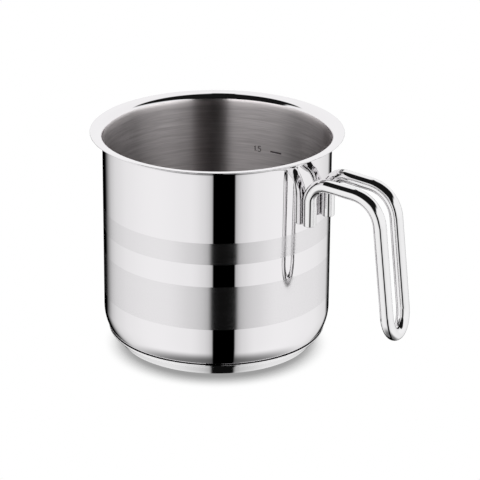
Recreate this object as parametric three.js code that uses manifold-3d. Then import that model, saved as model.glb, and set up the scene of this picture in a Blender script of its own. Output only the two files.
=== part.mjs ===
// Milk pan: a deep stainless steel pot with a pouring rim all round, a capsule base that spreads
// the heat, and a handle bent from one steel rod and welded to the wall at both ends.
// Millimetres, +Z up. The origin is the centre of the resting face, and the handle points along +X.

import * as THREE from "three";
import { mergeVertices } from "three/addons/utils/BufferGeometryUtils.js";
import Module from "manifold-3d";

const wasm = await Module();
wasm.setup();

// Pot

const potDiameter = 143;            // outside, straight wall
const potHeight = 138.6;            // resting face to the edge of the rim
const wallThickness = 0.8;
const cornerRadius = 27.6;          // outside, where the wall starts to turn in
const heelRadius = 7.9;             // outside, where the turn runs into the floor
const cornerTurn = 30;              // degrees that the corner turns before the heel takes over

// Pouring rim

const rimOverhang = 7.7;            // wall to the edge of the rim
const rimBendRadius = 4;            // inside face of the bend
const lipSlope = 9.5;               // degrees by which the lip climbs outwards

// Capsule base

const baseOverhang = 1.2;           // how far the capsule stands out past the flat of the floor
const capThickness = 0.5;
const capEdgeRadius = 2.4;          // outside, resting face to side
const capNeckRadius = 1;            // outside, side to skirt
const skirtStop = 2;                // degrees of the heel that the skirt leaves bare
const coreThickness = 4.3;

// Handle rod, whose lengths run along its axis

const rodDiameter = 8.2;
const rootFlat = 1;                 // how deep the root's back is cut to seat on the wall
const rootGap = 13.5;               // between the two roots
const legGap = 11.6;                // between the two legs, where the hairpin starts
const rootLength = 28.7;            // root end to the corner of the root's and the run's lines
const shoulderDrop = 15.3;          // edge of the rim to that corner
const runSlope = 3.9;               // degrees by which the run falls outwards
const rootBendRadius = 12;
const elbowRadius = 19.9;
const legLean = 6.6;                // degrees by which the legs lean outwards
const gripReach = 58.4;             // wall to leg, where the hairpin starts
const gripDrop = 76.2;              // that same corner to the start of the hairpin
const hairpinDepth = 14.4;          // start of the hairpin to its lowest point

// Fits and steps

const seatGap = 0.3;                // left between two pieces that touch
const cutOverrun = 5;               // how far a cutting solid reaches past what it cuts
const turnSegments = 72;            // round the pot
const arcSteps = 6;                 // along an arc of a profile
const edgeSteps = 3;                // along the small rounding of a sheet's edge
const rodSides = 16;
const bendSteps = 12;               // along a bend of the rod, and along half of its hairpin

const degrees = THREE.MathUtils.degToRad;
const toDegrees = THREE.MathUtils.radToDeg;

// Points of an arc about a centre, between two angles that are counted from level upwards.
function arcPoints(centre, radius, startDegrees, endDegrees, steps) {
  const points = [];
  for (let step = 0; step <= steps; step++) {
    const angle = degrees(startDegrees + ((endDegrees - startDegrees) * step) / steps);
    const x = centre.x + radius * Math.cos(angle);
    points.push(new THREE.Vector2(x, centre.y + radius * Math.sin(angle)));
  }
  return points;
}

// A closed solid turned about Z, whose profile starts and ends on the axis.
function turned(profile) {
  return new THREE.LatheGeometry(profile, turnSegments).rotateX(Math.PI / 2);
}

// Places that the pieces share, in the profile's plane

const potRadius = potDiameter / 2;
const rodRadius = rodDiameter / 2;
const coreBottom = capThickness + seatGap;
const floorHeight = coreBottom + coreThickness + seatGap;
const turnInset = (cornerRadius - heelRadius) * Math.cos(degrees(cornerTurn));
const turnDrop = (cornerRadius - heelRadius) * Math.sin(degrees(cornerTurn));
const heelCentre = new THREE.Vector2();
heelCentre.x = potRadius - cornerRadius + turnInset;
heelCentre.y = floorHeight + heelRadius;
const cornerCentre = new THREE.Vector2(potRadius - cornerRadius, heelCentre.y + turnDrop);
const baseRadius = heelCentre.x + baseOverhang;
const baseEdgeCentre = new THREE.Vector2(baseRadius - capEdgeRadius, capEdgeRadius);

// The pot's bottom from the axis to the wall, at one depth inside the outer face.
function bottomPoints(depth) {
  const heel = arcPoints(heelCentre, heelRadius - depth, -90, -cornerTurn, arcSteps);
  const corner = arcPoints(cornerCentre, cornerRadius - depth, -cornerTurn, 0, arcSteps);
  return [new THREE.Vector2(0, floorHeight + depth), ...heel, ...corner.slice(1)];
}

// Deep-drawn pot: one sheet from the floor over the corner and the wall to the flared rim.
function potGeometry() {
  const rise = degrees(lipSlope);
  const edgeRadius = wallThickness / 2;
  const edgeCentre = new THREE.Vector2();
  edgeCentre.x = potRadius + rimOverhang - edgeRadius;
  edgeCentre.y = potHeight - edgeRadius;
  const bendCentre = new THREE.Vector2();
  bendCentre.x = potRadius - wallThickness + rimBendRadius;
  const lipRun = edgeCentre.x - bendCentre.x;
  const middleRadius = rimBendRadius - edgeRadius;
  bendCentre.y = edgeCentre.y - lipRun * Math.tan(rise) - middleRadius / Math.cos(rise);
  const underRadius = rimBendRadius - wallThickness;
  return turned([
    ...bottomPoints(0),
    ...arcPoints(bendCentre, underRadius, 180, 90 + lipSlope, arcSteps),
    ...arcPoints(edgeCentre, edgeRadius, lipSlope - 90, lipSlope + 90, edgeSteps),
    ...arcPoints(bendCentre, rimBendRadius, 90 + lipSlope, 180, arcSteps),
    ...bottomPoints(wallThickness).reverse(),
  ]);
}

// Heat-spreading disc, closed in between the pot's floor and the capsule.
function coreGeometry() {
  const edgeRadius = capEdgeRadius - capThickness - seatGap;
  const coreTop = coreBottom + coreThickness;
  return turned([
    new THREE.Vector2(0, coreBottom),
    ...arcPoints(baseEdgeCentre, edgeRadius, -90, 0, edgeSteps),
    new THREE.Vector2(baseRadius - capThickness - seatGap, coreTop),
    new THREE.Vector2(0, coreTop),
  ]);
}

// Capsule: a shallow cup whose skirt spreads out at the top and hugs the pot's heel.
function capGeometry() {
  const innerRadius = heelRadius + seatGap;
  const outerRadius = innerRadius + capThickness;
  const edgeRadius = capThickness / 2;
  const skirtTurn = cornerTurn + skirtStop;
  const neckReach = outerRadius + capNeckRadius;
  const neckOut = baseOverhang + capNeckRadius;
  const neckDown = Math.sqrt(neckReach ** 2 - neckOut ** 2);
  const neckCentre = new THREE.Vector2(heelCentre.x + neckOut, heelCentre.y - neckDown);
  const neckTurn = toDegrees(Math.atan2(neckDown, neckOut));
  const wallTurn = toDegrees(Math.acos((baseOverhang - capThickness) / innerRadius));
  const middleRadius = innerRadius + edgeRadius;
  const [edgeCentre] = arcPoints(heelCentre, middleRadius, -skirtTurn, -skirtTurn, 1);
  const edge = arcPoints(edgeCentre, edgeRadius, -skirtTurn, 180 - skirtTurn, edgeSteps);
  return turned([
    new THREE.Vector2(0, 0),
    ...arcPoints(baseEdgeCentre, capEdgeRadius, -90, 0, edgeSteps),
    ...arcPoints(neckCentre, capNeckRadius, 180, 180 - neckTurn, edgeSteps),
    ...arcPoints(heelCentre, outerRadius, -neckTurn, -skirtTurn, arcSteps).slice(1),
    ...edge.slice(1, -1),
    ...arcPoints(heelCentre, innerRadius, -skirtTurn, -wallTurn, arcSteps),
    ...arcPoints(baseEdgeCentre, capEdgeRadius - capThickness, 0, -90, edgeSteps),
    new THREE.Vector2(0, capThickness),
  ]);
}

// Axis of the handle rod: up one root, out along the run, down the leg, round the hairpin and
// back. Steps along it follow its listed points, so that a straight stretch takes one step.
class RodAxis extends THREE.Curve {
  constructor() {
    super();
    const run = new THREE.Vector2(Math.cos(degrees(runSlope)), -Math.sin(degrees(runSlope)));
    const leg = new THREE.Vector2(Math.sin(degrees(legLean)), -Math.cos(degrees(legLean)));
    const up = new THREE.Vector2(0, 1);
    const shoulder = new THREE.Vector2();
    shoulder.x = potRadius + rodRadius - rootFlat;
    shoulder.y = potHeight - shoulderDrop;
    const rootEnd = shoulder.clone().addScaledVector(up, -rootLength);
    const gripEnd = new THREE.Vector2(potRadius + gripReach, shoulder.y - gripDrop);
    const across = gripEnd.clone().sub(shoulder);
    const elbow = shoulder.clone().addScaledVector(run, across.cross(leg) / run.cross(leg));
    const side = [
      rootEnd,
      ...this.bend(shoulder, up, run, rootBendRadius),
      ...this.bend(elbow, run, leg, elbowRadius),
      gripEnd,
    ];
    const half = side.map((point) => this.onLeg(point, rootEnd, gripEnd));
    const otherHalf = half.map((point) => new THREE.Vector3(point.x, -point.y, point.z));
    this.points = [...half, ...this.hairpin(gripEnd, leg), ...otherHalf.reverse()];
  }

  // The arc that rounds the corner between two directions, seen from the side.
  bend(corner, before, after, radius) {
    const turn = before.angleTo(after);
    const inwards = new THREE.Vector2(before.y, -before.x);
    const centre = corner.clone().addScaledVector(before, -radius * Math.tan(turn / 2));
    centre.addScaledVector(inwards, radius);
    const start = toDegrees(Math.atan2(-inwards.y, -inwards.x));
    return arcPoints(centre, radius, start, start - toDegrees(turn), bendSteps);
  }

  // A point of the side view set out from the middle: the legs draw together away from the wall.
  onLeg(point, rootEnd, gripEnd) {
    const share = (point.x - rootEnd.x) / (gripEnd.x - rootEnd.x);
    const gap = THREE.MathUtils.lerp(rootGap, legGap, share);
    return new THREE.Vector3(point.x, -(gap + rodDiameter) / 2, point.y);
  }

  // Half an ellipse between the ends of the two legs.
  hairpin(gripEnd, leg) {
    const halfWidth = (legGap + rodDiameter) / 2;
    const points = [];
    for (let step = 1; step < 2 * bendSteps; step++) {
      const angle = (Math.PI * step) / (2 * bendSteps);
      const place = gripEnd.clone().addScaledVector(leg, hairpinDepth * Math.sin(angle));
      points.push(new THREE.Vector3(place.x, -halfWidth * Math.cos(angle), place.y));
    }
    return points;
  }

  getPoint(t, target = new THREE.Vector3()) {
    const last = this.points.length - 1;
    const i = Math.min(Math.floor(t * last), last - 1);
    return target.lerpVectors(this.points[i], this.points[i + 1], t * last - i);
  }

  getUtoTmapping(u) {
    return u;
  }
}

// A closed geometry as a solid that can be cut.
function solidOf(geometry) {
  const bare = geometry.clone();
  bare.deleteAttribute("normal");
  bare.deleteAttribute("uv");
  const merged = mergeVertices(bare);
  const vertProperties = new Float32Array(merged.attributes.position.array);
  const triVerts = new Uint32Array(merged.index.array);
  return new wasm.Manifold(new wasm.Mesh({ numProp: 3, vertProperties, triVerts }));
}

function geometryOf(solid) {
  const mesh = solid.getMesh();
  const geometry = new THREE.BufferGeometry();
  geometry.setAttribute("position", new THREE.BufferAttribute(mesh.vertProperties, 3));
  geometry.setIndex(new THREE.BufferAttribute(mesh.triVerts, 1));
  geometry.computeVertexNormals();
  return geometry;
}

// One round rod bent to a hairpin, with the backs of both roots cut to the curve of the wall.
function handleGeometry() {
  const axis = new RodAxis();
  const section = new THREE.Shape();
  section.absarc(0, 0, rodRadius, 0, 2 * Math.PI);
  const rod = new THREE.ExtrudeGeometry(section, {
    steps: axis.points.length - 1,
    curveSegments: rodSides / 2,
    extrudePath: axis,
  });
  const seatRadius = potRadius + seatGap;
  const seatTop = potHeight - shoulderDrop;
  const seatBottom = seatTop - rootLength;
  const wall = turned([
    new THREE.Vector2(0, seatBottom - cutOverrun),
    new THREE.Vector2(seatRadius, seatBottom - cutOverrun),
    new THREE.Vector2(seatRadius, seatTop + cutOverrun),
    new THREE.Vector2(0, seatTop + cutOverrun),
  ]);
  return geometryOf(solidOf(rod).subtract(solidOf(wall)));
}

function steel(color, roughness) {
  return new THREE.MeshStandardMaterial({ color, roughness, metalness: 1 });
}

const milkPan = new THREE.Group();

function addPiece(name, geometry, material) {
  const mesh = new THREE.Mesh(geometry, material);
  mesh.name = name;
  milkPan.add(mesh);
}

addPiece("pan_body", potGeometry(), steel(0xe4e2e3, 0.12));
addPiece("base_core", coreGeometry(), steel(0xb9bcc0, 0.45));
addPiece("base_cap", capGeometry(), steel(0xdcdcdc, 0.2));
addPiece("handle_rod", handleGeometry(), steel(0xe8e8e8, 0.06));

export default milkPan;
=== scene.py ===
"""Milk pan: a mirror-polished steel pot with satin bands, a brushed inside, a capsule base and a rod handle.

Metres, +Z up. The origin is the centre of the resting face, and the handle points along +X.
"""

from math import acos, atan2, cos, hypot, pi, radians, sin, sqrt, tan

import bmesh
import bpy
from bpy.props import FloatProperty, FloatVectorProperty, PointerProperty
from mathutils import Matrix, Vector


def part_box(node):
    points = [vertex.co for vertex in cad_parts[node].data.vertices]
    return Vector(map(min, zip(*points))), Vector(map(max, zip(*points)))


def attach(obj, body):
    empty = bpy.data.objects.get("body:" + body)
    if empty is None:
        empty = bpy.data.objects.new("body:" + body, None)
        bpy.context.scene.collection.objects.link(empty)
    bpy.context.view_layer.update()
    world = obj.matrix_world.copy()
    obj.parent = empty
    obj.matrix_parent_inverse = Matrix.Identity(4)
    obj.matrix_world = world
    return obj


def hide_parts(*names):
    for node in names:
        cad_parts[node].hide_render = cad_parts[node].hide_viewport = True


bl_info = {
    "name": "Milk Pan",
    "version": (1, 0, 0),
    "blender": (4, 5, 0),
    "location": "3D View > Sidebar > Milk Pan",
    "description": "Builds a polished milk pan with a hairpin rod handle on its CAD frame",
    "category": "Add Mesh",
}

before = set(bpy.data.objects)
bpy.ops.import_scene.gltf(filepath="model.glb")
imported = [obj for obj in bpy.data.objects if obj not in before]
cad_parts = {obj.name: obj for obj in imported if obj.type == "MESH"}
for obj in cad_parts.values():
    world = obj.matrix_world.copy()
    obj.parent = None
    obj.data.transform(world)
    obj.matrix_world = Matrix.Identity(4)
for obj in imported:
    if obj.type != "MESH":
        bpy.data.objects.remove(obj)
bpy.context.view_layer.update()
POT_LOW, POT_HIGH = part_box("pan_body")

# How finely the shapes are cut, and what counts as one point or as a sharp edge

TURN_SEGMENTS = 288
ARC_STEPS = 16
EDGE_STEPS = 6
ROD_SIDES = 48
BEND_STEPS = 36
SAME_POINT = 1e-6
SHARP_ANGLE = radians(35)


# Sizes and colours that a user would change


def length(name, description, default):
    return FloatProperty(
        name=name, description=description, default=default, min=0, unit="LENGTH", precision=4)


def angle(name, description, default_degrees):
    return FloatProperty(
        name=name, description=description, default=radians(default_degrees), subtype="ANGLE")


def share(name, description, default):
    return FloatProperty(name=name, description=description, default=default, min=0, max=1, subtype="FACTOR")


def tint(name, description, default):
    return FloatVectorProperty(
        name=name, description=description, default=default, min=0, max=1, size=3, subtype="COLOR")


class PotSizes(bpy.types.PropertyGroup):
    """Sizes of the deep-drawn pot and its pouring rim."""

    diameter: length("Diameter", "Outside, straight wall", 0.143)
    height: length("Height", "Resting face to the edge of the rim", POT_HIGH.z)
    rim_radius: length("Rim radius", "Axis to the edge of the rim", POT_HIGH.x)
    floor_height: length("Floor height", "Resting face to the underside of the floor", POT_LOW.z)
    wall: length("Wall", "Thickness of the sheet", 0.0008)
    corner_radius: length("Corner radius", "Outside, where the wall starts to turn in", 0.0276)
    heel_radius: length("Heel radius", "Outside, where the turn runs into the floor", 0.0079)
    corner_turn: angle("Corner turn", "How far the corner turns before the heel takes over", 30)
    bend_radius: length("Rim bend", "Inside face of the bend into the rim", 0.005)
    lip_slope: angle("Lip slope", "How steeply the lip climbs outwards", 5)
    brush_start: length("Brushing starts", "Edge of the rim down to the brushed inside", 0.0033)


class BaseSizes(bpy.types.PropertyGroup):
    """Sizes of the capsule that closes the heat-spreading disc in."""

    overhang: length("Overhang", "How far the capsule stands out past the flat of the floor", 0.0012)
    sheet: length("Sheet", "Thickness of the capsule", 0.0005)
    edge_radius: length("Edge radius", "Outside, resting face to side", 0.002)
    neck_radius: length("Neck radius", "Outside, side to skirt", 0.0001)
    skirt_stop: angle("Skirt stop", "Part of the heel that the skirt leaves bare", 2)
    skirt_gap: length("Skirt gap", "Left between the skirt and the heel", 0.0005)


class HandleSizes(bpy.types.PropertyGroup):
    """Sizes of the handle rod, whose lengths run along its axis."""

    rod: length("Rod", "Diameter of the rod", 0.0082)
    end_rounding: length("End rounding", "Rounding round the rod's cut ends", 0.0004)
    root_flat: length("Root flat", "How deep a root's back is cut to seat on the wall", 0.001)
    seat_gap: length("Seat gap", "Left between the back of a root and the wall", 0.0003)
    root_gap: length("Root gap", "Between the two roots", 0.0135)
    leg_gap: length("Leg gap", "Between the two legs, where the hairpin starts", 0.0116)
    root_length: length("Root length", "Root end to the corner of the root's and the run's lines", 0.0287)
    shoulder_drop: length("Shoulder drop", "Edge of the rim to that corner", 0.0153)
    run_slope: angle("Run slope", "How steeply the run falls outwards", 3.9)
    root_bend: length("Root bend", "Radius of the bend from root to run", 0.012)
    elbow: length("Elbow", "Radius of the bend from run to leg", 0.0199)
    leg_lean: angle("Leg lean", "How far the legs lean outwards", 6.6)
    grip_reach: length("Grip reach", "Wall to leg, where the hairpin starts", 0.0584)
    grip_drop: length("Grip drop", "The first corner down to the start of the hairpin", 0.0762)
    hairpin_depth: length("Hairpin depth", "Start of the hairpin to its lowest point", 0.0144)


class MarkSizes(bpy.types.PropertyGroup):
    """Sizes of the level mark etched on the inside of the wall."""

    level: length("Level", "Height of the litre mark above the resting face", 0.1024)
    digit_height: length("Digit height", "Height of the number", 0.0035)
    digit_stroke: length("Digit stroke", "Width of the number's strokes", 0.0006)
    dash_stroke: length("Dash stroke", "Width of the level line", 0.0011)
    number_start: angle("Number start", "Where the number starts, seen from above", 103.4)
    dash_start: angle("Dash start", "Where the level line starts, seen from above", 94.2)
    dash_turn: angle("Dash turn", "How far the level line runs round the wall", 6.8)
    depth: length("Depth", "Thickness of the etched strokes", 0.00004)


class Finishes(bpy.types.PropertyGroup):
    """Colours, roughness and places of the finishes."""

    pot_tint: tint("Pot steel", "Colour of the pot's steel", (0.865, 0.85, 0.865))
    handle_tint: tint("Handle steel", "Colour of the handle's steel", (0.87, 0.865, 0.87))
    inside_tint: tint("Inside steel", "Colour of the brushed inside", (0.56, 0.533, 0.536))
    base_tint: tint("Base steel", "Colour of the capsule's steel", (0.82, 0.815, 0.82))
    core_tint: tint("Core aluminium", "Colour of the heat-spreading disc", (0.62, 0.63, 0.65))
    etch_tint: tint("Etched mark", "Colour of the etched level mark", (0.10, 0.09, 0.09))
    mirror_roughness: share("Mirror roughness", "Roughness of the mirror polish", 0.0)
    satin_roughness: share("Satin roughness", "Roughness of the satin bands", 0.115)
    capsule_roughness: share("Capsule roughness", "Roughness of the capsule's side", 0.04)
    brushed_roughness: share("Brushed roughness", "Roughness of the brushed inside", 0.36)
    # The paler inside by the rim is a painted highlight: the brushed steel's colour is lightened between
    # these heights.
    painted_highlight_low: length("Pale inside, lower edge", "Height above the resting face", 0.1291)
    painted_highlight_high: length("Pale inside, upper edge", "Height above the resting face", 0.1352)
    wide_band_low: length("Wide band, lower edge", "Height above the resting face", 0.0341)
    wide_band_high: length("Wide band, upper edge", "Height above the resting face", 0.0622)
    narrow_band_low: length("Narrow band, lower edge", "Height above the resting face", 0.0769)
    narrow_band_high: length("Narrow band, upper edge", "Height above the resting face", 0.0906)


class StageSettings(bpy.types.PropertyGroup):
    """Camera of the studio and the contact shadow painted on its floor."""

    camera_distance: length("Camera distance", "Camera to the middle of the pan", 1.573)
    camera_azimuth: angle("Camera azimuth", "Direction of the camera seen from above", -56.6)
    camera_elevation: angle("Camera elevation", "Height of the camera above level", 21.52)
    camera_roll: angle("Camera roll", "Turn of the camera about its view", 0.44)
    middle_height: length("Middle height", "Height that the camera's elevation is counted from", 0.06903)
    aim_aside: length("Aim aside", "Axis of the pan to the aim, to the right of the picture", 0.01464)
    aim_height: length("Aim height", "Resting face to the aim", 0.06495)
    focal_length: FloatProperty(
        name="Focal length", description="On a 36 mm sensor", default=186.8, unit="CAMERA")
    shadow_reach: length("Shadow reach", "How far the contact shadow spreads", 0.018)


class MilkPanSettings(bpy.types.PropertyGroup):
    """Everything that the panel shows."""

    pot: PointerProperty(type=PotSizes)
    base: PointerProperty(type=BaseSizes)
    handle: PointerProperty(type=HandleSizes)
    mark: PointerProperty(type=MarkSizes)
    finishes: PointerProperty(type=Finishes)
    stage: PointerProperty(type=StageSettings)


# Shader nodes written as expressions


class Value:
    """One output of a node. A calculation with values adds Math nodes."""

    def __init__(self, sheet, socket):
        self.sheet = sheet
        self.socket = socket

    def math(self, operation, *numbers):
        return self.sheet.add("ShaderNodeMath", {"operation": operation}, dict(enumerate(numbers)))

    def __add__(self, other):
        return self.math("ADD", self, other)

    __radd__ = __add__

    def __sub__(self, other):
        return self.math("SUBTRACT", self, other)

    def __rsub__(self, other):
        return self.math("SUBTRACT", other, self)

    def __mul__(self, other):
        return self.math("MULTIPLY", self, other)

    __rmul__ = __mul__

    def __truediv__(self, other):
        return self.math("DIVIDE", self, other)

    def __rtruediv__(self, other):
        return self.math("DIVIDE", other, self)

    def __lt__(self, other):
        return self.math("LESS_THAN", self, other)

    def __gt__(self, other):
        return self.math("GREATER_THAN", self, other)

    def either(self, other):
        return self.math("MAXIMUM", self, other)

    def root(self):
        return self.math("SQRT", self)

    def sine(self):
        return self.math("SINE", self)

    def turn_from(self, ahead):
        """Angle whose tangent is this value over the other, in all four quarters."""
        return self.math("ARCTAN2", self, ahead)

    def ramp(self, stops):
        """Grey tones between stops of place and tone."""
        return self.sheet.add("ShaderNodeValToRGB", {"stops": stops}, {"Fac": self})

    def rise(self, low, high):
        """0 at low, 1 at high, smooth between; falls where low is the larger."""
        settings = {"interpolation_type": "SMOOTHSTEP"}
        inputs = {"Value": self, "From Min": low, "From Max": high}
        return self.sheet.add("ShaderNodeMapRange", settings, inputs)

    def window(self, low, high, soft):
        """1 between low and high, with edges of the given softness."""
        return self.rise(low - soft, low + soft) * self.rise(high + soft, high - soft)


class NodeSheet:
    """The node tree of one material or world."""

    def __init__(self, owner):
        owner.use_nodes = True
        self.tree = owner.node_tree
        self.tree.nodes.clear()

    def add(self, kind, settings=None, inputs=None, output=0):
        """Adds a node: its settings first, then the values and links of its sockets."""
        node = self.tree.nodes.new(kind)
        for name, setting in (settings or {}).items():
            if name == "stops":
                self.set_stops(node.color_ramp, setting)
            else:
                setattr(node, name, setting)
        for name, number in (inputs or {}).items():
            socket = node.inputs[name]
            if isinstance(number, Value):
                self.tree.links.new(number.socket, socket)
            else:
                socket.default_value = number
        return Value(self, node.outputs[output])

    def set_stops(self, ramp, stops):
        ramp.interpolation = "CARDINAL"
        while len(ramp.elements) < len(stops):
            ramp.elements.new(1.0)
        for element, (place, tone) in zip(ramp.elements, stops):
            element.position = place
            element.color = opaque((tone, tone, tone))

    def xyz(self, vector):
        return [self.add("ShaderNodeSeparateXYZ", {}, {"Vector": vector}, axis) for axis in "XYZ"]

    def vector(self, x, y, z):
        return self.add("ShaderNodeCombineXYZ", {}, {"X": x, "Y": y, "Z": z})

    def dot(self, vector, direction):
        settings = {"operation": "DOT_PRODUCT"}
        return self.add("ShaderNodeVectorMath", settings, {0: vector, 1: direction}, "Value")

    def noise(self, vector, scale, detail, extra=None):
        settings = {"noise_dimensions": "3D" if extra is None else "4D"}
        inputs = {"Vector": vector, "Scale": scale, "Detail": detail}
        if extra is not None:
            inputs["W"] = extra
        return self.add("ShaderNodeTexNoise", settings, inputs)

    def mix_colours(self, factor, first, second):
        settings = {"data_type": "RGBA"}
        return self.add("ShaderNodeMix", settings, {0: factor, 6: first, 7: second}, 2)

    def levels(self, factor, colour, first, second):
        """One colour at two levels of brightness, mixed by the factor."""
        return self.mix_colours(factor, opaque(colour, first), opaque(colour, second))

    def mix_shaders(self, factor, first, second):
        return self.add("ShaderNodeMixShader", {}, {0: factor, 1: first, 2: second})

    def place(self):
        """Object coordinates, which are the frame's own."""
        return self.add("ShaderNodeTexCoord", output="Object")

    def height(self):
        return self.xyz(self.place())[2]

    def off_axis(self):
        """Distance from the pan's axis."""
        x, y, _ = self.xyz(self.place())
        return (x * x + y * y).root()

    def metal(self, **inputs):
        """A metal surface. The names of its sockets are written with underscores."""
        named = {name.replace("_", " "): number for name, number in inputs.items()}
        return self.add("ShaderNodeBsdfPrincipled", {}, {"Metallic": 1.0, **named})

    def embossed_metal(self, relief, strength, **inputs):
        """A metal surface with a shallow relief."""
        bump = {"Height": relief, "Strength": strength, "Distance": RELIEF_DEPTH}
        return self.metal(Normal=self.add("ShaderNodeBump", {}, bump), **inputs)

    def output(self, kind, surface):
        node = self.tree.nodes.new(kind)
        self.tree.links.new(surface.socket, node.inputs["Surface"])


def new_material(name):
    material = bpy.data.materials.new(name)
    return material, NodeSheet(material)


def opaque(colour, level=1.0):
    return (*[level * part for part in colour], 1.0)


# Materials. The spacings of lines are in metres, a fine and a coarse one for each finish. A stretch says
# how many times longer than wide its lines are, and the last value turns a finish along its lines.

RELIEF_DEPTH = 0.0001
BELT_LINES = (0.0004, 0.002)
BRUSH_LINES = (0.0005, 0.0014)
SPUN_LINES = (0.0003, 0.0012)
TURNED_LINES = (0.0003, 0.0015)
LINE_STRETCH = 60
BRUSH_STRETCH = 24
ALONG_THE_LINES = 0.25


def ring_grain(sheet, spacings, stretch=LINE_STRETCH):
    """Fine lines that run round the axis, as a turned or belt-brushed surface has them: 0 to 1."""
    x, y, z = sheet.xyz(sheet.place())
    radius = sheet.off_axis()
    lines = []
    for spacing in spacings:
        across = 1 / spacing
        along = across / stretch
        vector = sheet.vector(radius * across, z * across, x * along)
        lines.append(sheet.noise(vector, scale=1.0, detail=1.0, extra=y * along))
    return (lines[0] + lines[1]) * 0.5


def mirror_steel(finishes):
    """Outside of the pot: mirror polish, with two satin bands that show the lines of the belt."""
    band_edge = 0.00012
    satin_level = 0.93
    line_level = 0.8
    line_share = 0.12
    roughness_spread = 0.08
    material, sheet = new_material("mirror_steel")
    height = sheet.height()
    wide = height.window(finishes.wide_band_low, finishes.wide_band_high, band_edge)
    narrow = height.window(finishes.narrow_band_low, finishes.narrow_band_high, band_edge)
    satin = wide.either(narrow)
    grain = ring_grain(sheet, BELT_LINES)
    plain = sheet.levels(satin, finishes.pot_tint, 1.0, satin_level)
    tone = sheet.mix_colours(grain * satin * line_share, plain, opaque(finishes.pot_tint, line_level))
    dulling = finishes.satin_roughness - finishes.mirror_roughness + (grain - 0.5) * roughness_spread
    roughness = finishes.mirror_roughness + satin * dulling
    metal = sheet.embossed_metal(grain * satin, strength=0.1, Base_Color=tone, Roughness=roughness)
    sheet.output("ShaderNodeOutputMaterial", metal)
    return material


def rim_steel(finishes):
    """Pouring rim: mirror polish with faint lines round it."""
    line_level = 0.93
    line_share = 0.3
    material, sheet = new_material("rim_steel")
    grain = ring_grain(sheet, BELT_LINES)
    tone = sheet.levels(grain * line_share, finishes.pot_tint, 1.0, line_level)
    roughness = finishes.mirror_roughness
    metal = sheet.embossed_metal(grain, strength=0.02, Base_Color=tone, Roughness=roughness)
    sheet.output("ShaderNodeOutputMaterial", metal)
    return material


def brushed_steel(finishes):
    """Inside of the pot: brushed round the axis, so that highlights spread along it. Its colour is painted
    paler by the rim as a highlight.
    """
    line_contrast = (0.3, 0.7)
    dark_level = 0.86
    light_level = 1.1
    painted_highlight_level = 1.62
    roughness_spread = 0.06
    material, sheet = new_material("brushed_steel")
    grain = ring_grain(sheet, BRUSH_LINES, BRUSH_STRETCH).rise(*line_contrast)
    lined = sheet.levels(grain, finishes.inside_tint, dark_level, light_level)
    # Painted highlight: the colour is lightened towards the rim.
    painted_highlight = sheet.height().rise(finishes.painted_highlight_low, finishes.painted_highlight_high)
    tone = sheet.mix_colours(painted_highlight, lined, opaque(finishes.inside_tint, painted_highlight_level))
    roughness = finishes.brushed_roughness + (grain - 0.5) * roughness_spread
    metal = sheet.embossed_metal(
        grain, strength=0.12, Base_Color=tone, Roughness=roughness, Anisotropic=1.0,
        Anisotropic_Rotation=ALONG_THE_LINES)
    sheet.output("ShaderNodeOutputMaterial", metal)
    return material


def capsule_steel(finishes):
    """Side and skirt of the capsule: polished, with the fine lines of its spinning."""
    dark_level = 0.9
    roughness_spread = 0.03
    material, sheet = new_material("capsule_steel")
    grain = ring_grain(sheet, SPUN_LINES)
    tone = sheet.levels(grain, finishes.base_tint, dark_level, 1.0)
    roughness = finishes.capsule_roughness + grain * roughness_spread
    metal = sheet.embossed_metal(grain, strength=0.02, Base_Color=tone, Roughness=roughness)
    sheet.output("ShaderNodeOutputMaterial", metal)
    return material


def turned_steel(finishes):
    """Resting face: turned in fine rings."""
    ring_pitch = 0.0008
    dark_level = 0.8
    least_roughness = 0.28
    roughness_spread = 0.1
    material, sheet = new_material("turned_steel")
    ridge = (sheet.off_axis() * (2 * pi / ring_pitch)).sine() * 0.5 + 0.5
    grain = ring_grain(sheet, TURNED_LINES)
    tone = sheet.levels(grain, finishes.base_tint, dark_level, 1.0)
    roughness = least_roughness + grain * roughness_spread
    metal = sheet.embossed_metal(
        ridge + grain, strength=0.3, Base_Color=tone, Roughness=roughness, Anisotropic=0.6,
        Anisotropic_Rotation=ALONG_THE_LINES)
    sheet.output("ShaderNodeOutputMaterial", metal)
    return material


def handle_steel(finishes):
    """Rod of the handle: mirror polish with the faint clouds that a buffing wheel leaves."""
    clouds_per_metre = 900.0
    cloud_detail = 4.0
    cloud_range = (0.5, 0.8)
    cloud_level = 0.9
    cloud_share = 0.3
    material, sheet = new_material("handle_steel")
    clouds = sheet.noise(sheet.place(), clouds_per_metre, cloud_detail)
    tone = sheet.levels(clouds.rise(*cloud_range) * cloud_share, finishes.handle_tint, 1.0, cloud_level)
    roughness = finishes.mirror_roughness
    metal = sheet.embossed_metal(clouds, strength=0.02, Base_Color=tone, Roughness=roughness)
    sheet.output("ShaderNodeOutputMaterial", metal)
    return material


def rolled_aluminium(finishes):
    """Heat-spreading disc: plain rolled aluminium with streaks along X."""
    along = 40
    across = 1500
    streak_detail = 3.0
    dark_level = 0.85
    least_roughness = 0.35
    roughness_spread = 0.15
    material, sheet = new_material("rolled_aluminium")
    x, y, z = sheet.xyz(sheet.place())
    streaks = sheet.noise(sheet.vector(x * along, y * across, z * across), 1.0, streak_detail)
    tone = sheet.levels(streaks, finishes.core_tint, dark_level, 1.0)
    roughness = least_roughness + streaks * roughness_spread
    metal = sheet.embossed_metal(streaks, strength=0.2, Base_Color=tone, Roughness=roughness)
    sheet.output("ShaderNodeOutputMaterial", metal)
    return material


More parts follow.
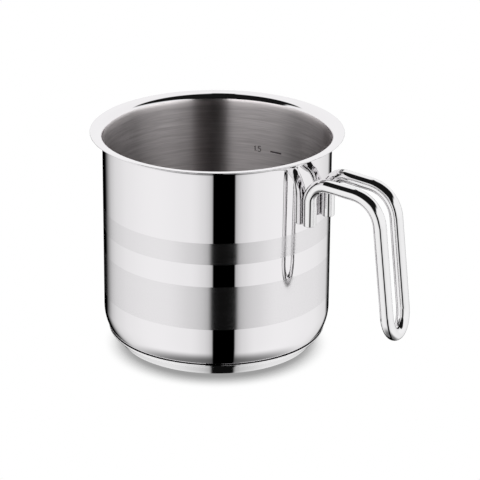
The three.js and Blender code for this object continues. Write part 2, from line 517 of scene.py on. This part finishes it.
def etched_mark(finishes):
    """Level mark: etched dark and matt into the brushed steel."""
    specks_per_metre = 4000.0
    speck_detail = 2.0
    dark_level = 0.7
    least_roughness = 0.6
    roughness_spread = 0.2
    material, sheet = new_material("etched_mark")
    specks = sheet.noise(sheet.place(), specks_per_metre, speck_detail)
    tone = sheet.levels(specks, finishes.etch_tint, dark_level, 1.0)
    roughness = least_roughness + specks * roughness_spread
    sheet.output("ShaderNodeOutputMaterial", sheet.metal(Base_Color=tone, Metallic=0.3, Roughness=roughness))
    return material


# Meshes


def on_circle(centre, radius, turn):
    """A point on a circle in a profile's plane. The turn is an angle, counted from level upwards."""
    return centre + radius * Vector((cos(turn), sin(turn)))


def arc(centre, radius, start, end, steps):
    """Points of an arc between two angles."""
    return [on_circle(centre, radius, start + (end - start) * step / steps) for step in range(steps + 1)]


class Profile:
    """Half the section of a turned piece: its points, and the finish of each stretch between two."""

    def __init__(self):
        self.points = []
        self.finishes = []

    def run(self, finish, points):
        """Adds points, and gives each stretch that leads to one of them its finish."""
        for point in points:
            if self.points and (point - self.points[-1]).length < SAME_POINT:
                continue
            if self.points:
                self.finishes.append(finish)
            self.points.append(point)


def add_piece(name, build, materials, replaced):
    """Makes an object of a finished bmesh, shades it and ties it to the frame."""
    bmesh.ops.recalc_face_normals(build, faces=build.faces)
    mesh = bpy.data.meshes.new(name)
    build.to_mesh(mesh)
    build.free()
    mesh.shade_smooth()
    mesh.set_sharp_from_angle(angle=SHARP_ANGLE)
    for material in materials:
        mesh.materials.append(material)
    piece = bpy.data.objects.new(name, mesh)
    bpy.context.scene.collection.objects.link(piece)
    shading = piece.modifiers.new("even_shading", "WEIGHTED_NORMAL")
    shading.keep_sharp = True
    if replaced:
        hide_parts(replaced)
    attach(piece, "root")
    return piece


def turned(profile, finish_names):
    """Turns a profile about Z. A face's material is the place of its finish in the list of names."""
    build = bmesh.new()
    turns = [2 * pi * step / TURN_SEGMENTS for step in range(TURN_SEGMENTS)]
    rings = []
    for radius, height in profile.points:
        if radius < SAME_POINT:
            rings.append([build.verts.new((0, 0, height))] * TURN_SEGMENTS)
            continue
        places = [(radius * cos(turn), radius * sin(turn), height) for turn in turns]
        rings.append([build.verts.new(place) for place in places])
    for ring, following, finish in zip(rings, rings[1:], profile.finishes):
        for here in range(TURN_SEGMENTS):
            there = (here + 1) % TURN_SEGMENTS
            corners = dict.fromkeys((ring[here], ring[there], following[there], following[here]))
            build.faces.new(list(corners)).material_index = finish_names.index(finish)
    return build


class PotPlaces:
    """Places that the pot and its base share, in the profile's plane."""

    def __init__(self, pot, base):
        self.radius = pot.diameter / 2
        inset = (pot.corner_radius - pot.heel_radius) * cos(pot.corner_turn)
        drop = (pot.corner_radius - pot.heel_radius) * sin(pot.corner_turn)
        self.heel = Vector((self.radius - pot.corner_radius + inset, pot.floor_height + pot.heel_radius))
        self.corner = Vector((self.radius - pot.corner_radius, self.heel.y + drop))
        base_radius = self.heel.x + base.overhang
        self.base_edge = Vector((base_radius - base.edge_radius, base.edge_radius))

    def bottom(self, pot, depth):
        """The pot's bottom from the axis to the wall, at one depth inside the outer face."""
        heel = arc(self.heel, pot.heel_radius - depth, -pi / 2, -pot.corner_turn, ARC_STEPS)
        corner = arc(self.corner, pot.corner_radius - depth, -pot.corner_turn, 0, ARC_STEPS)
        return [Vector((0, pot.floor_height + depth)), *heel, *corner]


def pot_profile(pot, places):
    """The pot's section, from the axis up the outside, over the rim and down the inside."""
    edge_radius = pot.wall / 2
    outer_bend = pot.bend_radius - pot.wall
    edge = Vector((pot.rim_radius - edge_radius, pot.height - edge_radius))
    bend_x = places.radius - pot.wall + pot.bend_radius
    middle_radius = pot.bend_radius - edge_radius
    bend_y = edge.y - (edge.x - bend_x) * tan(pot.lip_slope) - middle_radius / cos(pot.lip_slope)
    bend = Vector((bend_x, bend_y))
    rise_to_brushing = (pot.height - pot.brush_start - bend.y) / pot.bend_radius
    brush_turn = pi - atan2(rise_to_brushing, sqrt(1 - rise_to_brushing**2))
    lip_turn = pi / 2 + pot.lip_slope
    profile = Profile()
    profile.run("outside", [*places.bottom(pot, 0), on_circle(bend, outer_bend, pi)])
    profile.run("rim", arc(bend, outer_bend, pi, lip_turn, ARC_STEPS))
    profile.run("rim", arc(edge, edge_radius, pot.lip_slope - pi / 2, pot.lip_slope + pi / 2, EDGE_STEPS))
    profile.run("rim", arc(bend, pot.bend_radius, lip_turn, brush_turn, ARC_STEPS))
    profile.run("inside", arc(bend, pot.bend_radius, brush_turn, pi, ARC_STEPS))
    profile.run("inside", places.bottom(pot, pot.wall)[::-1])
    return profile


def capsule_profile(pot, base, places):
    """The capsule's section: resting face, side, neck and the skirt that follows the pot's heel."""
    inner_radius = pot.heel_radius + base.skirt_gap
    outer_radius = inner_radius + base.sheet
    edge_radius = base.sheet / 2
    skirt_turn = pot.corner_turn + base.skirt_stop
    neck_reach = outer_radius + base.neck_radius
    neck_out = base.overhang + base.neck_radius
    neck_down = sqrt(neck_reach**2 - neck_out**2)
    neck = places.heel + Vector((neck_out, -neck_down))
    neck_turn = atan2(neck_down, neck_out)
    wall_turn = acos((base.overhang - base.sheet) / inner_radius)
    edge = on_circle(places.heel, inner_radius + edge_radius, -skirt_turn)
    profile = Profile()
    profile.run("rest", [Vector((0, 0)), Vector((places.base_edge.x, 0))])
    profile.run("side", arc(places.base_edge, base.edge_radius, -pi / 2, 0, EDGE_STEPS))
    profile.run("side", arc(neck, base.neck_radius, pi, pi - neck_turn, EDGE_STEPS))
    profile.run("side", arc(places.heel, outer_radius, -neck_turn, -skirt_turn, ARC_STEPS))
    profile.run("side", arc(edge, edge_radius, -skirt_turn, pi - skirt_turn, EDGE_STEPS))
    profile.run("side", arc(places.heel, inner_radius, -skirt_turn, -wall_turn, ARC_STEPS))
    profile.run("side", arc(places.base_edge, base.edge_radius - base.sheet, 0, -pi / 2, EDGE_STEPS))
    profile.run("side", [Vector((0, base.sheet))])
    return profile


def bend_points(corner, before, after, radius):
    """The arc that rounds the corner between two directions, seen from the side."""
    turn = before.angle(after)
    inwards = Vector((before.y, -before.x))
    centre = corner - before * radius * tan(turn / 2) + inwards * radius
    start = atan2(-inwards.y, -inwards.x)
    return arc(centre, radius, start, start - turn, BEND_STEPS)


def quarter_round(radius, step):
    """How far a quarter round has left its start line after a step."""
    return radius * (1 - cos(pi / 2 * step / EDGE_STEPS))


def rod_axis(pot, handle):
    """Axis of the handle rod: up one root, out along the run, down the leg, round the hairpin and back."""
    run = Vector((cos(handle.run_slope), -sin(handle.run_slope)))
    leg = Vector((sin(handle.leg_lean), -cos(handle.leg_lean)))
    up = Vector((0, 1))
    root_x = pot.diameter / 2 + handle.rod / 2 - handle.root_flat
    shoulder = Vector((root_x, pot.height - handle.shoulder_drop))
    root_end = shoulder - up * handle.root_length
    grip_end = Vector((pot.diameter / 2 + handle.grip_reach, shoulder.y - handle.grip_drop))
    across = grip_end - shoulder
    elbow = shoulder + run * (across.cross(leg) / run.cross(leg))
    side = [root_end + up * quarter_round(handle.end_rounding, step) for step in range(EDGE_STEPS + 1)]
    side += bend_points(shoulder, up, run, handle.root_bend)
    side += bend_points(elbow, run, leg, handle.elbow)
    side.append(grip_end)
    half = []
    for point in side:
        outwards = (point.x - root_end.x) / (grip_end.x - root_end.x)
        gap = handle.root_gap + (handle.leg_gap - handle.root_gap) * outwards
        half.append(Vector((point.x, -(gap + handle.rod) / 2, point.y)))
    half_width = (handle.leg_gap + handle.rod) / 2
    hairpin = []
    for step in range(1, 2 * BEND_STEPS):
        turn = pi * step / (2 * BEND_STEPS)
        place = grip_end + leg * handle.hairpin_depth * sin(turn)
        hairpin.append(Vector((place.x, -half_width * cos(turn), place.y)))
    other_half = [Vector((point.x, -point.y, point.z)) for point in reversed(half)]
    return half + hairpin + other_half


def swept_rod(axis, handle, seat_radius):
    """A round section carried along the axis without twist, with rounded ends and backs cut to the wall."""
    build = bmesh.new()
    last = len(axis) - 1
    directions = [(axis[min(i + 1, last)] - axis[max(i - 1, 0)]).normalized() for i in range(last + 1)]
    side = directions[0].cross(Vector((0, 1, 0))).normalized()
    rings = []
    for i, (point, direction) in enumerate(zip(axis, directions)):
        side = (side - direction * side.dot(direction)).normalized()
        other_side = direction.cross(side)
        step_in = max(0, EDGE_STEPS - min(i, last - i))
        radius = handle.rod / 2 - quarter_round(handle.end_rounding, step_in)
        ring = []
        for step in range(ROD_SIDES):
            turn = 2 * pi * step / ROD_SIDES
            ring.append(build.verts.new(point + radius * (side * cos(turn) + other_side * sin(turn))))
        rings.append(ring)
    for ring, following in zip(rings, rings[1:]):
        for here in range(ROD_SIDES):
            there = (here + 1) % ROD_SIDES
            build.faces.new((ring[here], ring[there], following[there], following[here]))
    for ring, centre in ((rings[0], axis[0]), (rings[-1], axis[-1])):
        middle = build.verts.new(centre)
        for here in range(ROD_SIDES):
            build.faces.new((ring[here], ring[(here + 1) % ROD_SIDES], middle))
    for vert in build.verts:
        if hypot(vert.co.x, vert.co.y) < seat_radius:
            vert.co.x = sqrt(seat_radius**2 - vert.co.y**2)
    return build


def number_strokes(height):
    """Strokes of the number 1.5: x along the wall, y up, from the bottom left corner of the first digit.

    The points are drawn on a grid.
    """
    digit_rows = 6
    unit = height / digit_rows
    one = [(0, 4.6), (1, 6), (1, 0)]
    point = [(2.9, 0), (2.9, 0.9)]
    bowl_radius = 1.9
    bowl = arc(Vector((5.8, bowl_radius)), bowl_radius, radians(125), radians(-140), ARC_STEPS)
    five = [(7.6, 6), (5.0, 6), (4.7, 3.5), *bowl]
    return [[Vector(place) * unit for place in stroke] for stroke in (one, point, five)]


def wall_ribbons(strokes, width, radius, start, height):
    """Flat ribbons along strokes that are laid on the inside of the wall."""
    build = bmesh.new()
    for stroke in strokes:
        last = len(stroke) - 1
        edges = []
        for i, point in enumerate(stroke):
            direction = (stroke[min(i + 1, last)] - stroke[max(i - 1, 0)]).normalized()
            aside = Vector((-direction.y, direction.x)) * width / 2
            pair = []
            for place in (point + aside, point - aside):
                turn = start - place.x / radius
                pair.append(build.verts.new((radius * cos(turn), radius * sin(turn), height + place.y)))
            edges.append(pair)
        for (left, right), (next_left, next_right) in zip(edges, edges[1:]):
            build.faces.new((left, right, next_right, next_left))
    return build


# Operators


class MILKPAN_OT_pot(bpy.types.Operator):
    """Build the deep-drawn pot with its pouring rim and its finishes"""

    bl_idname = "milkpan.pot"
    bl_label = "Pot"

    def execute(self, context):
        settings = context.scene.milk_pan
        places = PotPlaces(settings.pot, settings.base)
        build = turned(pot_profile(settings.pot, places), ["outside", "rim", "inside"])
        makers = (mirror_steel, rim_steel, brushed_steel)
        add_piece("pot", build, [maker(settings.finishes) for maker in makers], "pan_body")
        return {"FINISHED"}


class MILKPAN_OT_level_mark(bpy.types.Operator):
    """Etch the level mark into the inside of the wall"""

    bl_idname = "milkpan.level_mark"
    bl_label = "Level Mark"

    def execute(self, context):
        settings = context.scene.milk_pan
        mark = settings.mark
        radius = settings.pot.diameter / 2 - settings.pot.wall - mark.depth / 2
        material = etched_mark(settings.finishes)
        dash_length = radius * mark.dash_turn
        number_foot = mark.level - mark.digit_height / 3
        dash = [Vector((dash_length * step / ARC_STEPS, 0)) for step in range(ARC_STEPS + 1)]
        parts = (
            ("level_number", number_strokes(mark.digit_height), mark.digit_stroke, mark.number_start,
             number_foot),
            ("level_line", [dash], mark.dash_stroke, mark.dash_start, mark.level),
        )
        for name, strokes, width, start, height in parts:
            build = wall_ribbons(strokes, width, radius, start, height)
            piece = add_piece(name, build, [material], None)
            solid = piece.modifiers.new("stroke_depth", "SOLIDIFY")
            solid.thickness = mark.depth
            solid.offset = 0
        return {"FINISHED"}


class MILKPAN_OT_base(bpy.types.Operator):
    """Build the capsule and finish the heat-spreading disc inside it"""

    bl_idname = "milkpan.base"
    bl_label = "Base"

    def execute(self, context):
        settings = context.scene.milk_pan
        places = PotPlaces(settings.pot, settings.base)
        build = turned(capsule_profile(settings.pot, settings.base, places), ["side", "rest"])
        finishes = [capsule_steel(settings.finishes), turned_steel(settings.finishes)]
        add_piece("capsule", build, finishes, "base_cap")
        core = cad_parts["base_core"]
        core.material_slots[0].material = rolled_aluminium(settings.finishes)
        return {"FINISHED"}


class MILKPAN_OT_handle(bpy.types.Operator):
    """Bend the handle rod and cut the backs of its roots to the wall"""

    bl_idname = "milkpan.handle"
    bl_label = "Handle"

    def execute(self, context):
        settings = context.scene.milk_pan
        axis = rod_axis(settings.pot, settings.handle)
        seat_radius = settings.pot.diameter / 2 + settings.handle.seat_gap
        build = swept_rod(axis, settings.handle, seat_radius)
        add_piece("handle", build, [handle_steel(settings.finishes)], "handle_rod")
        return {"FINISHED"}


class MILKPAN_OT_stage(bpy.types.Operator):
    """Set up the floor, the studio light and the camera"""

    bl_idname = "milkpan.stage"
    bl_label = "Stage"

    def execute(self, context):
        stage = context.scene.milk_pan.stage
        add_floor(stage)
        add_studio(context.scene, stage)
        add_camera(context.scene, stage)
        context.scene.view_settings.view_transform = "Standard"
        return {"FINISHED"}


def add_floor(stage):
    """A white floor that glows for the camera with the pan's contact shadow painted in, and lets the studio
    show in the steel.
    """
    reach = 4.0
    drop = 0.0001
    lit_tone = 0.9
    build = bmesh.new()
    corners = ((-reach, -reach), (reach, -reach), (reach, reach), (-reach, reach))
    build.faces.new([build.verts.new((x, y, -drop)) for x, y in corners])
    mesh = bpy.data.meshes.new("floor")
    build.to_mesh(mesh)
    build.free()
    floor = bpy.data.objects.new("floor", mesh)
    bpy.context.scene.collection.objects.link(floor)
    material, sheet = new_material("white_floor")
    material.cycles.emission_sampling = "NONE"
    # Painted shadow: the floor glows white for the camera, greyed by ambient occlusion and darkest on the
    # camera's side.
    painted_shadow_glow = sheet.add("ShaderNodeEmission", {}, {"Color": painted_shadow_tone(sheet, stage), "Strength": 1.0})
    clear = sheet.add("ShaderNodeBsdfTransparent", {}, {"Color": opaque((1, 1, 1))})
    lit = sheet.add("ShaderNodeBsdfDiffuse", {}, {"Color": opaque((1, 1, 1), lit_tone)})
    is_glossy = sheet.add("ShaderNodeLightPath", output="Is Glossy Ray")
    is_camera = sheet.add("ShaderNodeLightPath", output="Is Camera Ray")
    from_below = sheet.add("ShaderNodeNewGeometry", output="Backfacing")
    above = sheet.mix_shaders(is_camera, sheet.mix_shaders(is_glossy, lit, clear), painted_shadow_glow)
    sheet.output("ShaderNodeOutputMaterial", sheet.mix_shaders(from_below, above, clear))
    mesh.materials.append(material)


def painted_shadow_tone(sheet, stage):
    """Painted contact shadow: white away from the pan and grey beside it, darkest on the camera's side."""
    samples = 16
    open_range = (0.3, 0.97)
    lightening_behind = 0.4
    darkest = 0.33
    open_share = sheet.add(
        "ShaderNodeAmbientOcclusion", {"samples": samples}, {"Distance": stage.shadow_reach}, "AO")
    off_front = 1 - sheet.dot(sheet.place(), camera_directions(stage)[0]) / sheet.off_axis()
    openness = (open_share + off_front * lightening_behind).rise(*open_range)
    return openness * (1 - darkest) + darkest


def camera_directions(stage):
    """Level directions from the pan to the camera and to the right of the picture."""
    towards = Vector((cos(stage.camera_azimuth), sin(stage.camera_azimuth), 0))
    right = Vector((-towards.y, towards.x, 0))
    return towards, right


# Tones that the steel mirrors, each with its place: the walls from behind the pan over its left, front
# and right, and the edge of the dark strip from the strip outwards.
WALL_TONES = (
    (0.0, 0.0), (0.076, 0.0), (0.089, 0.12), (0.108, 0.38), (0.125, 0.6), (0.15, 0.76), (0.2, 0.88),
    (0.25, 0.94), (0.33, 0.98), (0.43, 0.93), (0.6, 0.92), (0.68, 0.98), (0.78, 0.96), (0.845, 0.91),
    (0.9, 0.79), (0.912, 0.72), (0.921, 0.42), (0.932, 0.1), (0.945, 0.0), (1.0, 0.0),
)
STRIP_EDGE_TONES = ((0.0, 0.0), (0.06, 0.5), (0.17, 0.7), (0.33, 0.82), (0.62, 0.92), (1.0, 1.0))


class MirroredRay:
    """Where a ray goes that the steel throws back.

    Height, ahead (towards the camera) and aside (to the right of the picture) are the parts of its
    direction, and round is its share of a full turn from behind over the left. Facing is the tangent of
    the angle, seen from above, between the directions to the camera and out of the upright wall that
    throws it back. Blurred is 0 where the ray comes off mirror polish and 1 elsewhere.
    """

    def __init__(self, sheet, stage):
        towards_camera, right = camera_directions(stage)
        direction = sheet.add("ShaderNodeTexCoord", output="Generated")
        self.height = sheet.xyz(direction)[2]
        self.ahead = sheet.dot(direction, towards_camera)
        self.aside = sheet.dot(direction, right)
        self.round = self.aside.turn_from(self.ahead) / (2 * pi) + 0.5
        self.facing = self.aside / (self.ahead + cos(stage.camera_elevation))
        self.blurred = 1 - sheet.add("ShaderNodeLightPath", output="Is Singular Ray")


def wall_light(ray):
    """Walls below the horizon that are dark behind the pan.

    All is white above them, and for blurred steel also beneath them.
    """
    horizon = (0.0, -0.25)
    blurred_end = (-0.5, -0.65)
    on_wall = ray.height.rise(*horizon) * (1 - ray.blurred * ray.height.rise(*blurred_end))
    return 1 - (1 - ray.round.ramp(WALL_TONES)) * on_wall


def strip_light(ray):
    """0 in the dark strip in front and 1 far beside it and behind.

    Blurred steel sees the strip wider, longer and with longer edges.
    """
    left = -0.0285
    right = 0.154
    shift = 0.115
    shift_heights = (-0.34, -0.17)
    edge = 0.2
    back_end = -0.5
    blurred_widening = 0.012
    blurred_edge = 0.22
    blurred_lengthening = 0.4
    place = ray.facing + ray.height.rise(*shift_heights) * shift
    beside = (place - right).either(left - place) - ray.blurred * blurred_widening
    light = (beside / (ray.blurred * blurred_edge + edge)).ramp(STRIP_EDGE_TONES)
    return light.either(ray.ahead < back_end - ray.blurred * blurred_lengthening)


def hood_light(ray):
    """0 in the dark hood high in front and 1 outside it. The hood's edge climbs to both sides."""
    edge_heights = (0.29, 0.43)
    climb = 0.28
    climb_on_right = (0.15, 0.6)
    climb_on_left = (0.35, 0.0)
    back_edge = (-0.16, -0.06)
    back_lean = 0.25
    raised = ray.aside.rise(*climb_on_right).either(ray.ahead.rise(*climb_on_left) * (ray.aside < 0))
    high = (ray.height - raised * climb).rise(*edge_heights)
    return 1 - high * (ray.ahead + ray.height * back_lean).rise(*back_edge)


def sharp_light(ray):
    """What mirror polish shows, and what all steel shows below the horizon."""
    straight_down = (-0.94, -0.67)
    least_below = 0.2
    ceiling = (0.1, 0.3)
    blurred_share = 0.6
    least_light = 0.009
    below = (ray.height.rise(*straight_down) * (1 - least_below) + least_below).either(ray.blurred)
    light = wall_light(ray) * strip_light(ray) * hood_light(ray) * below
    return light.either(ray.height.rise(*ceiling).either(ray.blurred * blurred_share) * least_light)


def soft_light(ray):
    """What blurred steel shows above the horizon: white, with a dark strip in front and dark behind."""
    strip = {"low": -0.1, "high": 0.226, "soft": 0.002}
    open_sides = {"low": 0.12, "high": 0.935, "soft": 0.015}
    shaded = (0.52, 0.2)
    shade = 0.45
    front_level = 1.6
    behind = (0.4, -0.2)
    dimming_behind = 0.6
    light = (1 - ray.facing.window(**strip) * (ray.ahead > 0)) * ray.round.window(**open_sides)
    unshaded = 1 - ray.facing.rise(*shaded) * (ray.facing > 0) * shade
    return light * unshaded * (front_level - ray.ahead.rise(*behind) * dimming_behind)


def add_studio(scene, stage):
    """White surroundings with a dark strip and a dark hood in front, as the steel mirrors them."""
    horizon = (-0.02, 0.02)
    world = bpy.data.worlds.new("studio")
    scene.world = world
    sheet = NodeSheet(world)
    ray = MirroredRay(sheet, stage)
    sharp = sharp_light(ray)
    softness = ray.blurred * ray.height.rise(*horizon)
    is_camera = sheet.add("ShaderNodeLightPath", output="Is Camera Ray")
    tone = (sharp + (soft_light(ray) - sharp) * softness).either(is_camera)
    backdrop = sheet.add("ShaderNodeBackground", {}, {"Color": tone, "Strength": 1.0})
    sheet.output("ShaderNodeOutputWorld", backdrop)


def add_camera(scene, stage):
    towards, right = camera_directions(stage)
    data = bpy.data.cameras.new("camera")
    data.lens = stage.focal_length
    camera = bpy.data.objects.new("camera", data)
    scene.collection.objects.link(camera)
    level = towards * cos(stage.camera_elevation)
    outwards = level + Vector((0, 0, sin(stage.camera_elevation)))
    camera.location = outwards * stage.camera_distance + Vector((0, 0, stage.middle_height))
    aim = right * stage.aim_aside + Vector((0, 0, stage.aim_height))
    facing = (aim - camera.location).to_track_quat("-Z", "Y").to_matrix()
    camera.rotation_euler = facing.to_euler()
    camera.rotation_euler.rotate_axis("Z", stage.camera_roll)
    scene.camera = camera


class MILKPAN_PT_panel(bpy.types.Panel):
    """Lists the pan's operators and sizes"""

    bl_idname = "MILKPAN_PT_panel"
    bl_label = "Milk Pan"
    bl_space_type = "VIEW_3D"
    bl_region_type = "UI"
    bl_category = "Milk Pan"

    def draw(self, context):
        for operator in OPERATORS:
            self.layout.operator(operator.bl_idname)
        settings = context.scene.milk_pan
        for group in (settings.pot, settings.base, settings.handle, settings.mark, settings.finishes,
                      settings.stage):
            box = self.layout.box()
            for name in group.__annotations__:
                box.prop(group, name)


OPERATORS = (MILKPAN_OT_pot, MILKPAN_OT_level_mark, MILKPAN_OT_base, MILKPAN_OT_handle, MILKPAN_OT_stage)
GROUPS = (PotSizes, BaseSizes, HandleSizes, MarkSizes, Finishes, StageSettings, MilkPanSettings)
CLASSES = (*GROUPS, *OPERATORS, MILKPAN_PT_panel)


def register():
    for part in CLASSES:
        bpy.utils.register_class(part)
    bpy.types.Scene.milk_pan = PointerProperty(type=MilkPanSettings)


def unregister():
    del bpy.types.Scene.milk_pan
    for part in reversed(CLASSES):
        bpy.utils.unregister_class(part)


def main():
    register()
    bpy.ops.milkpan.pot()
    bpy.ops.milkpan.level_mark()
    bpy.ops.milkpan.base()
    bpy.ops.milkpan.handle()
    bpy.ops.milkpan.stage()


if __name__ == "__main__":
    main()
